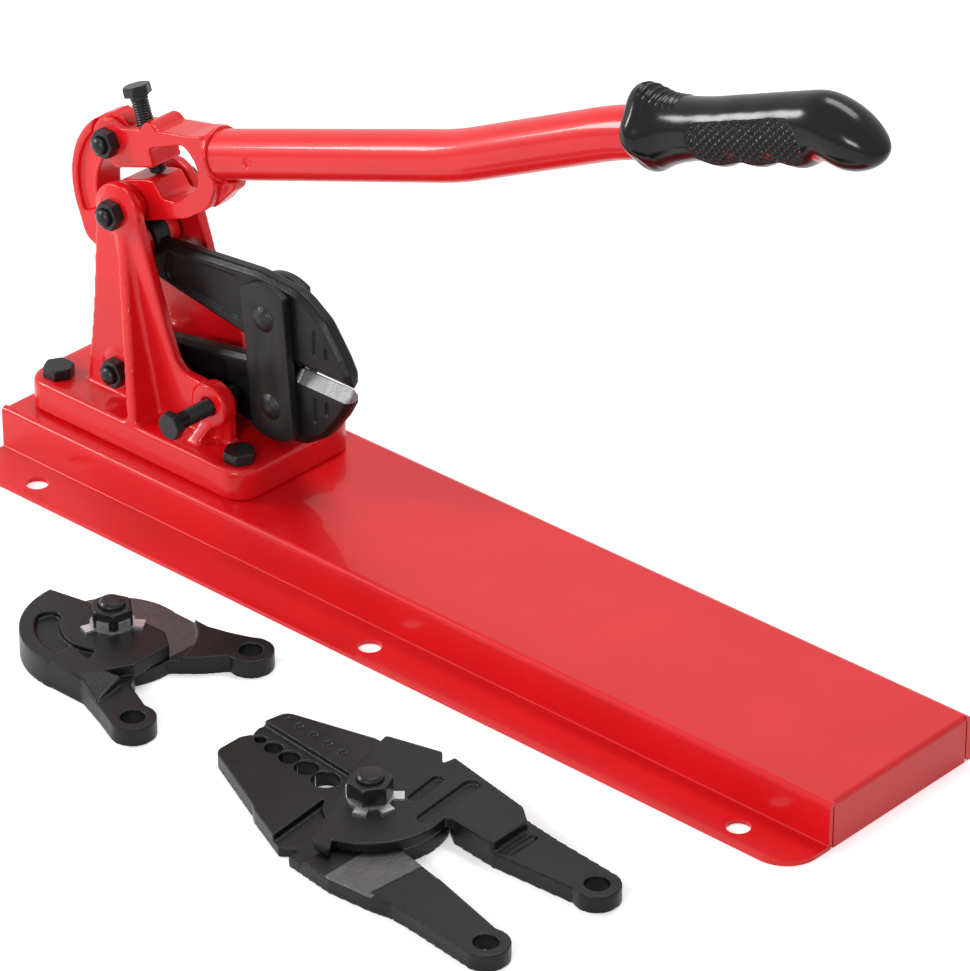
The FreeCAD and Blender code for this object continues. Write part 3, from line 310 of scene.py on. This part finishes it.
# Hand grip: gloss black vinyl moulded over the tube's end, with a flared guard, thumb ribs,
# a knurled panel each side, finger scallops and a hooked end. It is drawn along the handle
# from its pivot. The sizes of its rings, knurl, ribs and guard are in millimetres.
HANDLE_PIVOT = Vector((-0.234, 0, 0.161))
HANDLE_TILT = math.radians(18.4)
GRIP_AXIS = 0.0383
GRIP_SIDES = 28
GRIP_START_RADIUS = 0.010
GRIP_SMOOTHING = 3
KNURL_LEFT, KNURL_RIGHT = 430.0, 502.0
KNURL_LOW, KNURL_HIGH, KNURL_FLARE = -13.5, 9.0, 3.0
KNURL_ROUND_LEFT, KNURL_ROUND_RIGHT = 9, 7
KNURL_PITCH = 6.2
KNURL_SLOPE = 0.62
KNURL_PAN = 1.3
KNURL_RIDGE = 1.4
KNURL_SHARPNESS = 2.6
RIBS_START, RIBS_END = 396.0, 421.0
RIB_HALF_WIDTH = 9.5
RIB_HEIGHT = 0.6
RIB_PITCH = 3.9
GUARD_END, GUARD_FADE = 404.0, 9.0
GUARD_CORNER = 0.13
GUARD_MIDDLE = 2.5
GRIP_RINGS = (  # along, down, up, half width (mm)
    (387.6, 15.6, 16.2, 15.2), (388.4, 18.0, 20.4, 17.6), (390.5, 19.8, 24.4, 19.8),
    (394.0, 20.6, 26.2, 21.4), (397.0, 20.4, 26.2, 21.4), (399.5, 19.6, 25.0, 20.4),
    (402.0, 18.6, 23.4, 19.0), (405.0, 17.6, 21.8, 17.8), (408.5, 16.6, 20.4, 16.8),
    (412.0, 15.9, 19.5, 16.2), (416.0, 15.2, 19.0, 15.9), (421.0, 14.6, 18.5, 15.7),
    (427.0, 14.2, 18.2, 15.7), (432.0, 14.8, 18.1, 15.7), (437.0, 16.6, 18.1, 15.7),
    (443.0, 17.8, 18.3, 15.8), (449.0, 16.2, 18.6, 15.8), (455.0, 14.4, 18.9, 15.9),
    (461.0, 16.4, 19.2, 16.0), (468.0, 17.8, 19.5, 16.0), (474.0, 16.2, 19.8, 16.0),
    (480.0, 14.4, 20.1, 16.0), (486.5, 16.4, 20.4, 16.0), (493.0, 18.2, 20.7, 16.0),
    (499.0, 17.0, 21.0, 16.0), (504.5, 14.2, 21.2, 16.0), (509.5, 12.8, 21.3, 16.0),
    (514.5, 15.2, 20.8, 16.0), (520.0, 18.4, 19.2, 15.9), (526.0, 19.4, 16.2, 15.4),
    (532.0, 19.0, 12.0, 14.2), (537.5, 17.6, 6.6, 12.0), (541.8, 15.4, 0.8, 9.0),
    (544.6, 12.6, -4.4, 5.4), (545.8, 10.2, -7.4, 2.0))


def grip_body():
    """Loft the grip ring by ring, from the guard to the hooked end, and round it."""
    deselect_all()
    first = GRIP_RINGS[0]
    bpy.ops.mesh.primitive_circle_add(vertices=GRIP_SIDES, radius=GRIP_START_RADIUS, fill_type="NGON",
                                      location=(first[0] / 1000, 0, 0), rotation=(0, math.pi / 2, 0))
    grip = bpy.context.object
    grip.name = "hand_grip_moulded"
    bpy.ops.object.transform_apply(location=True, rotation=True, scale=True)
    bpy.ops.object.mode_set(mode="EDIT")
    bpy.ops.mesh.select_all(action="SELECT")
    old = (first[0] / 1000, 0.0, GRIP_START_RADIUS, GRIP_START_RADIUS)
    for index, (along, down, up, half) in enumerate(GRIP_RINGS):
        middle = GRIP_AXIS + (up - down) / 2000
        tall = (up + down) / 2000
        if index:
            step = (along / 1000 - old[0], 0, 0)
            bpy.ops.mesh.extrude_region_move(TRANSFORM_OT_translate={"value": step})
        bpy.ops.transform.translate(value=(0, 0, middle - old[1]))
        bpy.ops.transform.resize(value=(1, half / 1000 / old[2], tall / old[3]),
                                 center_override=(along / 1000, 0, middle))
        old = (along / 1000, middle, half / 1000, tall)
    bpy.ops.mesh.select_all(action="SELECT")
    bpy.ops.mesh.normals_make_consistent(inside=False)
    bpy.ops.object.mode_set(mode="OBJECT")
    round_off = grip.modifiers.new("round_off", "SUBSURF")
    round_off.levels = GRIP_SMOOTHING
    round_off.render_levels = GRIP_SMOOTHING
    apply_all(grip)
    bpy.ops.object.shade_smooth()
    return grip


def falloff(distance, width):
    """0 at a border, rising to 1 over the width inside it."""
    return min(1.0, max(0.0, distance / width))


def knurl_height(along, rise):
    """Height of the knurled panel: fine crossed ridges standing in a shallow oval pan."""
    high = KNURL_HIGH + KNURL_FLARE * (along - KNURL_LEFT) / (KNURL_RIGHT - KNURL_LEFT)
    middle = (KNURL_LOW + high) / 2
    half = (high - KNURL_LOW) / 2
    round_in = max(KNURL_LEFT + KNURL_ROUND_LEFT - along, along - (KNURL_RIGHT - KNURL_ROUND_RIGHT), 0.0)
    room = half * math.sqrt(max(0.0, 1 - (round_in / KNURL_ROUND_LEFT) ** 2)) - abs(rise - middle)
    inside = falloff(room, 1.0)
    ridges = []
    for slope in (KNURL_SLOPE, -KNURL_SLOPE):
        across = (along + rise / slope) / KNURL_PITCH
        ridges.append(abs(across - math.floor(across) - 0.5) * 2)
    return inside * (-KNURL_PAN + KNURL_RIDGE * max(ridges) ** KNURL_SHARPNESS)


def thumb_rib_height(along, across):
    """Height of the thumb ribs: a few waves across the top of the grip's neck."""
    if not RIBS_START < along < RIBS_END or abs(across) > RIB_HALF_WIDTH:
        return 0.0
    fade = falloff(RIB_HALF_WIDTH - abs(across), 2.0)
    fade *= falloff(along - RIBS_START, 1.0) * falloff(RIBS_END - along, 1.0)
    return fade * RIB_HEIGHT * math.cos((along - RIBS_START) * 2 * math.pi / RIB_PITCH)


def mould_details(grip):
    """Press in the knurled panels, raise the ribs, trim the guard's corners and set the grip in place."""
    mesh = grip.data
    normals = [vertex.normal.copy() for vertex in mesh.vertices]
    for vertex, normal in zip(mesh.vertices, normals):
        along = vertex.co.x * 1000
        across = vertex.co.y * 1000
        rise = (vertex.co.z - GRIP_AXIS) * 1000
        height = 0.0
        if abs(normal.y) > 0.25:
            height = knurl_height(along, rise) * falloff(abs(normal.y) - 0.25, 0.15)
        if normal.z > 0.4:
            height += thumb_rib_height(along, across) * falloff(normal.z - 0.4, 0.2)
        vertex.co += normal * height / 1000
        corner = math.sin(2 * math.atan2(rise - GUARD_MIDDLE, across)) ** 2
        corner *= falloff(GUARD_END - along, GUARD_FADE)
        vertex.co.y *= 1 - GUARD_CORNER * corner
        vertex.co.z -= (vertex.co.z - GRIP_AXIS - GUARD_MIDDLE / 1000) * GUARD_CORNER * corner
    tilt = Matrix.Rotation(-HANDLE_TILT, 4, "Y")
    mesh.transform(Matrix.Translation(HANDLE_PIVOT) @ tilt)


grip_black = finish("grip_black", (0.002, 0.002, 0.0021), (0.004, 0.004, 0.0042), (0.14, 0.22),
                    260, 0.00003, cloud_scale=30, specular=0.26)
grip = grip_body()
mould_details(grip)
take_place(grip, "hand_grip", "handle", grip_black)

# Jaws: drop-forged steel in a satin black finish. The lower jaw's cutting bevel is ground
# after finishing and shows bare bright steel with fine grinding lines across the edge.
BRIGHT_STEEL = (0.24, 0.24, 0.238)
GRIND_SCALE = 400
GROUND_METAL = 0.9
BLADE_LINE = 0.09825
BEVEL_LENGTH = (-0.117, -0.0785)
BEVEL_HEIGHT = (BLADE_LINE - 0.0078, BLADE_LINE + 0.001)
JAW_CELL = 0.00058


def ground_group():
    """Grinding lines, drawn out by a stretch, and a stain that varies the polish."""
    group = bpy.data.node_groups.new("ground_lines", "ShaderNodeTree")
    for name, kind in (("Line Scale", "NodeSocketFloat"), ("Stretch", "NodeSocketVector")):
        group.interface.new_socket(name, in_out="INPUT", socket_type=kind)
    for name in ("Lines", "Stain"):
        group.interface.new_socket(name, in_out="OUTPUT", socket_type="NodeSocketFloat")
    start = group.nodes.new("NodeGroupInput")
    end = group.nodes.new("NodeGroupOutput")
    where = group.nodes.new("ShaderNodeTexCoord")
    pull = group.nodes.new("ShaderNodeVectorMath")
    pull.operation = "MULTIPLY"
    lines = group.nodes.new("ShaderNodeTexNoise")
    lines.inputs["Detail"].default_value = 4
    stain = group.nodes.new("ShaderNodeTexNoise")
    stain.inputs["Scale"].default_value = 60
    stain.inputs["Detail"].default_value = 5
    wire(group, where, "Object", pull, 0)
    wire(group, start, "Stretch", pull, 1)
    wire(group, pull, "Vector", lines, "Vector")
    wire(group, start, "Line Scale", lines, "Scale")
    wire(group, where, "Object", stain, "Vector")
    wire(group, lines, "Fac", end, "Lines")
    wire(group, stain, "Fac", end, "Stain")
    return group


ground_lines = ground_group()


def with_ground_zone(material, zone, steel, rough, stretch):
    """Turn part of a black finish into bare ground steel. Zone is a list of (axis, low, high)."""
    tree = material.node_tree
    shader = tree.nodes["Principled BSDF"]
    where = tree.nodes.new("ShaderNodeTexCoord")
    split = tree.nodes.new("ShaderNodeSeparateXYZ")
    wire(tree, where, "Object", split, "Vector")
    mask = None
    for axis, low, high in zone:
        for operation, limit in (("GREATER_THAN", low), ("LESS_THAN", high)):
            test = tree.nodes.new("ShaderNodeMath")
            test.operation = operation
            test.inputs[1].default_value = limit
            wire(tree, split, axis, test, 0)
            if mask is None:
                mask = test
                continue
            both = tree.nodes.new("ShaderNodeMath")
            both.operation = "MULTIPLY"
            wire(tree, mask, 0, both, 0)
            wire(tree, test, 0, both, 1)
            mask = both
    lines = tree.nodes.new("ShaderNodeGroup")
    lines.node_tree = ground_lines
    lines.inputs["Line Scale"].default_value = GRIND_SCALE
    lines.inputs["Stretch"].default_value = stretch
    shade = tree.nodes.new("ShaderNodeValToRGB")
    shade.color_ramp.elements[0].position = 0.25
    shade.color_ramp.elements[0].color = (*[value * 0.72 for value in steel], 1)
    shade.color_ramp.elements[1].position = 0.75
    shade.color_ramp.elements[1].color = (*steel, 1)
    wire(tree, lines, "Lines", shade, "Fac")
    colour = tree.nodes.new("ShaderNodeMix")
    colour.data_type = "RGBA"
    wire(tree, mask, 0, colour, "Factor")
    tree.links.new(tree.nodes["colours"].outputs["Color"], colour.inputs[6])
    tree.links.new(shade.outputs["Color"], colour.inputs[7])
    tree.links.new(colour.outputs[2], shader.inputs["Base Color"])
    polish = tree.nodes.new("ShaderNodeMapRange")
    polish.inputs["To Min"].default_value = rough[0]
    polish.inputs["To Max"].default_value = rough[1]
    wire(tree, lines, "Stain", polish, "Value")
    gloss = tree.nodes.new("ShaderNodeMix")
    wire(tree, mask, 0, gloss, "Factor")
    tree.links.new(tree.nodes["gloss"].outputs["Result"], gloss.inputs[2])
    tree.links.new(polish.outputs["Result"], gloss.inputs[3])
    tree.links.new(gloss.outputs[0], shader.inputs["Roughness"])
    metal = tree.nodes.new("ShaderNodeMath")
    metal.operation = "MULTIPLY"
    metal.inputs[1].default_value = GROUND_METAL
    wire(tree, mask, 0, metal, 0)
    wire(tree, metal, 0, shader, "Metallic")
    return material


def black_forging(name):
    """Satin black over a forging's slightly pitted skin."""
    return finish(name, (0.0035, 0.0035, 0.0037), (0.0075, 0.0075, 0.0078), (0.28, 0.42),
                  700, 0.00014, cloud_scale=40, specular=0.22, speck=0.5)


lower_black = with_ground_zone(black_forging("lower_jaw_black"),
                               (("X", *BEVEL_LENGTH), ("Z", *BEVEL_HEIGHT)),
                               BRIGHT_STEEL, (0.42, 0.55), (1, 0.06, 0.06))
soften_in_place("upper_jaw", "jaw", black_forging("upper_jaw_black"), JAW_CELL, 3)
soften_in_place("lower_jaw", "base", lower_black, JAW_CELL, 3)

# Side straps: flat bars sheared from plate, tumbled so their edges are broken, one each
# side of the jaws, on two riveted pins.
STRAP_EDGE = 0.0006
FLAT_ANGLE = math.radians(1.0)
EDGE_ANGLE = math.radians(30)
SMOOTH_ANGLE = math.radians(35)


def edge_broken(node, width):
    """Break a plate's sharp edges with a small rounded bevel."""
    piece = working_copy(node)
    bpy.ops.object.mode_set(mode="EDIT")
    bpy.ops.mesh.select_all(action="SELECT")
    bpy.ops.mesh.dissolve_limited(angle_limit=FLAT_ANGLE)
    bpy.ops.object.mode_set(mode="OBJECT")
    break_edge = piece.modifiers.new("break_edge", "BEVEL")
    break_edge.width = width
    break_edge.segments = 3
    break_edge.limit_method = "ANGLE"
    break_edge.angle_limit = EDGE_ANGLE
    apply_all(piece)
    bpy.ops.object.shade_smooth_by_angle(angle=SMOOTH_ANGLE)
    return piece


strap_black = finish("strap_black", (0.007, 0.007, 0.0073), (0.013, 0.013, 0.0134), (0.36, 0.48),
                     1100, 0.00008, cloud_scale=30, specular=0.24)
for node in ("near_strap", "far_strap"):
    take_place(edge_broken(node, STRAP_EDGE), node, "straps", strap_black)

# Pins and rivets: turned pins, black oxide, their heads rounded over with a rivet set,
# which leaves them slightly dented.
rivet_black = finish("rivet_black", (0.005, 0.005, 0.0053), (0.014, 0.014, 0.0144), (0.28, 0.44),
                     420, 0.00045, cloud_scale=160, specular=0.28)
for node in ("upper_strap_pin", "lower_strap_pin", "tail_pin"):
    recoat(node, rivet_black)

# Bolts and nuts: steel in black oxide with an oily sheen. Hexagons have rounded corners.
# The two set bolts show their rolled threads.
THREAD_RADIUS = 0.00495
THREAD_BAND = 0.0004
THREAD_PITCH = 0.0015
THREAD_DEPTH = 0.00075
ADJUSTER_ALONG = 0.014
BOLT_CELL = 0.00042
SET_BOLT_CELL = 0.00030
oxide_black = finish("oxide_black", (0.004, 0.004, 0.0043), (0.012, 0.012, 0.0124), (0.24, 0.40),
                     900, 0.00005, cloud_scale=120, specular=0.28)
BOLT_BODIES = {"stand_bolts": "base", "stand_nuts": "base", "handle_pivot_bolt": "base",
               "handle_pivot_nut": "base", "lower_tail_bolt": "base", "lower_tail_nut": "base",
               "link_pivot_bolt": "handle", "link_pivot_nut": "handle", "cable_pivot_bolt": "cable_head",
               "cable_pivot_nut": "cable_head", "crimp_pivot_bolt": "crimp_head",
               "crimp_pivot_nut": "crimp_head", "clamp_bolt": "clamp", "adjusting_bolt": "adjuster"}


def rolled_thread(piece, centre, axis, start, end):
    """Press a thread into a shank: each point near the skin moves in by the thread's depth."""
    side = axis.orthogonal().normalized()
    other = axis.cross(side)
    for vertex in piece.data.vertices:
        offset = vertex.co - centre
        along = offset.dot(axis)
        flat = offset - axis * along
        reach = flat.length
        if not start < along < end or abs(reach - THREAD_RADIUS) > THREAD_BAND:
            continue
        turn = math.atan2(flat.dot(other), flat.dot(side)) / (2 * math.pi)
        phase = along / THREAD_PITCH + turn
        depth = abs(phase - math.floor(phase) - 0.5) * 2
        vertex.co -= flat / reach * (THREAD_DEPTH * depth)


for node, body in BOLT_BODIES.items():
    cell = SET_BOLT_CELL if node in ("clamp_bolt", "adjusting_bolt") else BOLT_CELL
    piece = softened(node, cell, 2)
    if node == "clamp_bolt":
        box_low, box_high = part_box(node)
        middle = (Vector(box_low) + Vector(box_high)) / 2
        centre = Vector((middle.x, box_low[1], middle.z))
        rolled_thread(piece, centre, Vector((0, 1, 0)), 0.0125, 0.045)
    if node == "adjusting_bolt":
        axis = Vector((-math.sin(HANDLE_TILT), 0, math.cos(HANDLE_TILT)))
        handle_line = Vector((math.cos(HANDLE_TILT), 0, math.sin(HANDLE_TILT)))
        rolled_thread(piece, HANDLE_PIVOT + handle_line * ADJUSTER_ALONG, axis, 0.0150, 0.0565)
    take_place(piece, node, body, oxide_black)

# Washers: zinc plated steel. Under the base they are plain rings; on the loose heads
# they are tab washers, whose bent tabs lock the nuts.
bright_zinc = finish("bright_zinc", (0.42, 0.42, 0.42), (0.62, 0.62, 0.62), (0.30, 0.46),
                     500, 0.00006, cloud_scale=130, metallic=0.85)
for node in ("stand_washers", "cable_lock_washer", "crimp_lock_washer"):
    recoat(node, bright_zinc)

# Cable cutting head: two forged plates. The moving plate slides under the fixed one, so
# its top face is ground and shows grey; the rest is satin black.
GREY_STEEL = (0.12, 0.12, 0.122)
GREY_POLISH = (0.36, 0.46)
soften_in_place("cable_fixed_lever", "cable_head", black_forging("cable_head_black"),
                0.00058, 4)
moving_black = with_ground_zone(black_forging("cable_arm_black"),
                                (("Z", 0.0076, 0.0090), ("X", -0.150, -0.0635)),
                                GREY_STEEL, GREY_POLISH, (0.35, 1, 1))
soften_in_place("cable_moving_lever", "cable_moving_arm", moving_black, 0.00054, 4)

# Crimping head: two forged levers with a row of nests between their jaws. The flat beside
# the hub on the near lever is milled and shows grey.
soften_in_place("crimp_upper_lever", "crimp_head", black_forging("crimp_head_black"),
                0.00064, 4)
milled_black = with_ground_zone(black_forging("crimp_arm_black"),
                                (("Z", 0.0084, 0.0092), ("X", 0.1385, 0.1685)),
                                GREY_STEEL, GREY_POLISH, (1, 0.35, 1))
soften_in_place("crimp_lower_lever", "crimp_moving_arm", milled_black, 0.00062, 4)
